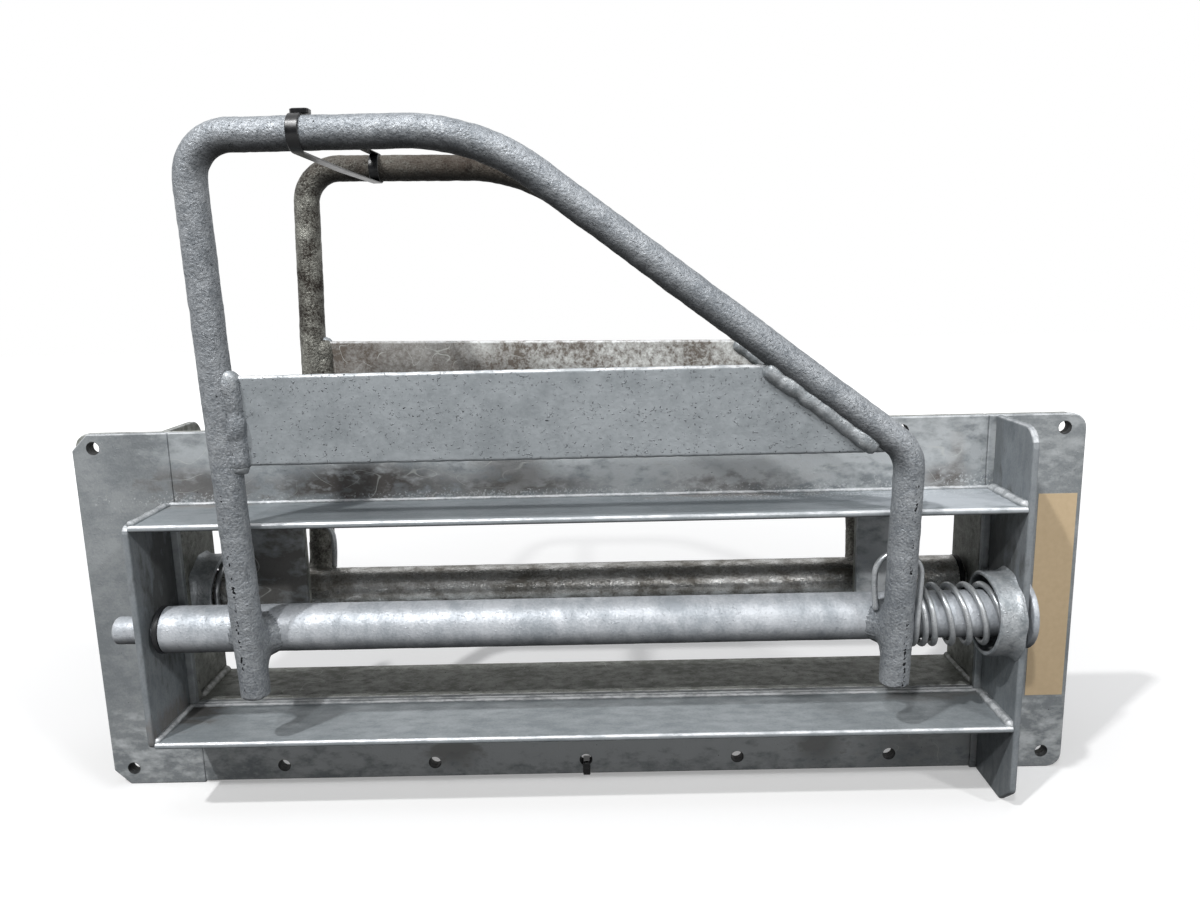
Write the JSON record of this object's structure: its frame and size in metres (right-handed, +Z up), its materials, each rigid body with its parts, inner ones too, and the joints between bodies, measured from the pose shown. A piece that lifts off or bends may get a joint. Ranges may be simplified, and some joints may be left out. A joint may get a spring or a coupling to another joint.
{
  "type": "anti-backing gate pair",
  "caption": "Bolt-on sprung anti-backing gates for a cattle race, tied back to back: galvanised flange, box frame, pivot tube, torsion spring and bent bar hoop with infill flat.",
  "frame": {"origin": "middle of the footprint on the ground, between the two flanges", "axes": "+X to the right of the pictured front along the hinge lines, +Y from the front unit to the rear one, +Z up"},
  "size_m": [0.94, 0.2698, 0.6157],
  "materials": {
    "galvanised_flat": "hot-dip galvanised, dull mid grey with lighter edges",
    "galvanised_tube": "hot-dip galvanised, brighter and streaky",
    "galvanised_bar": "hot-dip galvanised, pebbly with small dark pits",
    "zinc_wire": "zinc-coated spring wire, satin",
    "black_nylon": "matt black nylon",
    "black_tie": "glossy black nylon strap"
  },
  "bodies": {
    "frames": {"front_flange_free": "galvanised_flat", "front_flange_spring": "galvanised_flat", "front_flange_top": "galvanised_flat", "front_flange_bottom": "galvanised_flat", "front_shelf_top": "galvanised_flat", "front_shelf_bottom": "galvanised_flat", "front_end_plate_short": "galvanised_flat", "front_end_plate_tall": "galvanised_flat", "front_stop_free": "galvanised_flat", "front_stop_spring": "galvanised_flat", "front_spring_collar": "galvanised_tube", "front_pivot_shaft": "galvanised_tube", "front_shaft_head": "galvanised_tube", "rear_flange_free": "galvanised_flat", "rear_flange_spring": "galvanised_flat", "rear_flange_top": "galvanised_flat", "rear_flange_bottom": "galvanised_flat", "rear_shelf_top": "galvanised_flat", "rear_shelf_bottom": "galvanised_flat", "rear_end_plate_short": "galvanised_flat", "rear_end_plate_tall": "galvanised_flat", "rear_stop_free": "galvanised_flat", "rear_stop_spring": "galvanised_flat", "rear_spring_collar": "galvanised_tube", "rear_pivot_shaft": "galvanised_tube", "rear_shaft_head": "galvanised_tube", "bottom_tie": "black_tie"},
    "front_gate": {"front_pivot_tube": "galvanised_tube", "front_bush_free": "black_nylon", "front_bush_spring": "black_nylon", "front_hoop": "galvanised_bar", "front_infill": "galvanised_flat", "front_spring": "zinc_wire", "top_tie_front": "black_tie"},
    "rear_gate": {"rear_pivot_tube": "galvanised_tube", "rear_bush_free": "black_nylon", "rear_bush_spring": "black_nylon", "rear_hoop": "galvanised_bar", "rear_infill": "galvanised_flat", "rear_spring": "zinc_wire", "top_tie_rear": "black_tie"}
  },
  "joints": [
    {"name": "front_gate_hinge", "type": "hinge", "parent": "frames", "child": "front_gate", "pos_m": [0, -0.0515, 0.18], "axis": [1, 0, 0], "range_deg": [0, 76], "stiffness_Nm_per_rad": 15, "springref_deg": -25.21, "deforming": ["front_spring"]},
    {"name": "rear_gate_hinge", "type": "hinge", "parent": "frames", "child": "rear_gate", "pos_m": [0, 0.0515, 0.18], "axis": [-1, 0, 0], "range_deg": [0, 76], "stiffness_Nm_per_rad": 15, "springref_deg": -25.21, "deforming": ["rear_spring"]}
  ]
}
